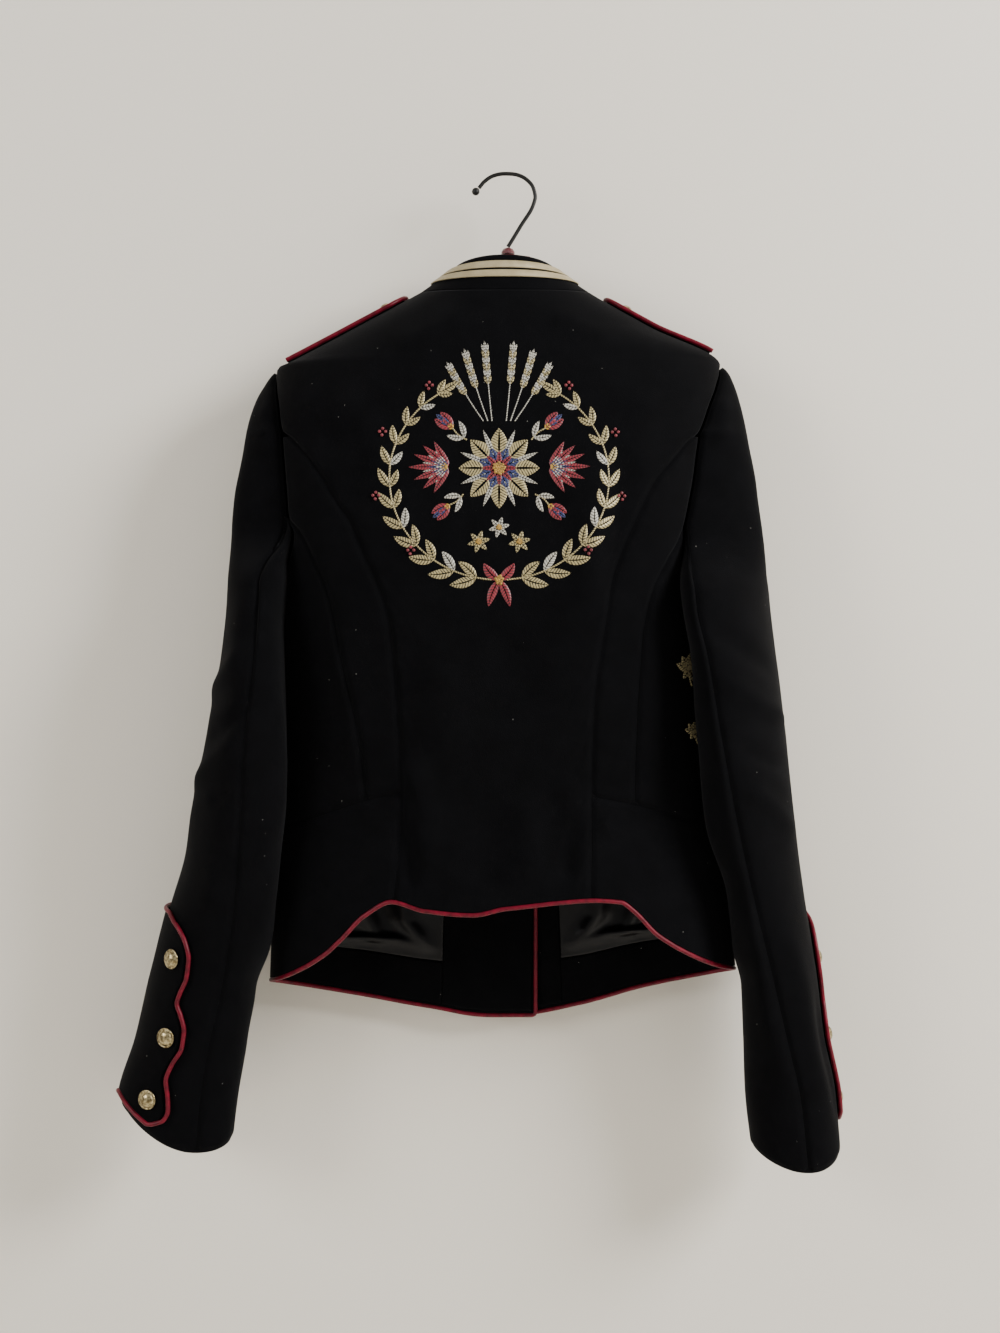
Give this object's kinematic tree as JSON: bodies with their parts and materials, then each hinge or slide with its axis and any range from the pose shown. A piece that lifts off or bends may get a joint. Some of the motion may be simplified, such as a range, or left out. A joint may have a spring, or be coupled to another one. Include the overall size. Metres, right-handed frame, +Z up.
{
  "type": "military-style jacket on coat hanger",
  "caption": "Short fitted wool jacket with stand collar, epaulettes, piped edges and cuff slashes, hanging on a wooden coat hanger.",
  "frame": {"origin": "inside of the crown of the hanger's hook, where a rail or nail holds it", "axes": "+Z up; the back of the jacket faces -Y and its fronts +Y; the wearer's right is +X"},
  "size_m": [0.6375, 0.1239, 0.8755],
  "materials": {
    "wool": "matt melton",
    "piping": "satin-weave cord",
    "braid": "woven metallic braid",
    "lining": "satin",
    "button": "worn pale gilt",
    "wood": "varnished",
    "steel": "blackened"
  },
  "bodies": {
    "root": {"centre_back": "wool", "collar": "wool", "side_back_left": "wool", "side_back_right": "wool", "side_panel_left": "wool", "side_panel_right": "wool", "front_left": "wool", "front_right": "wool", "peplum_left": "wool", "peplum_right": "wool", "top_sleeve_left": "wool", "top_sleeve_right": "wool", "under_sleeve_left": "wool", "under_sleeve_right": "wool", "cuff_slash_left": "wool", "cuff_slash_right": "wool", "epaulette_left": "wool", "epaulette_right": "wool", "front_facing_left": "wool", "front_facing_right": "wool", "hem_facing_left": "wool", "hem_facing_right": "wool", "back_hem_piping": "piping", "front_piping_left": "piping", "front_piping_right": "piping", "cuff_slash_piping_left": "piping", "cuff_slash_piping_right": "piping", "epaulette_piping_left": "piping", "epaulette_piping_right": "piping", "collar_braid_upper": "braid", "collar_braid_lower": "braid", "front_lining_left": "lining", "front_lining_right": "lining", "epaulette_button_left": "button", "cuff_button_left_1": "button", "cuff_button_left_2": "button", "cuff_button_left_3": "button", "epaulette_button_right": "button", "cuff_button_right_1": "button", "cuff_button_right_2": "button", "cuff_button_right_3": "button", "front_button_1": "button", "front_button_2": "button", "front_button_3": "button", "front_button_4": "button", "front_button_5": "button", "front_button_6": "button", "front_button_7": "button", "hanger_body": "wood", "hanger_knob": "wood", "hanger_hook": "steel", "hanger_hook_tip": "steel"}
  },
  "joints": []
}
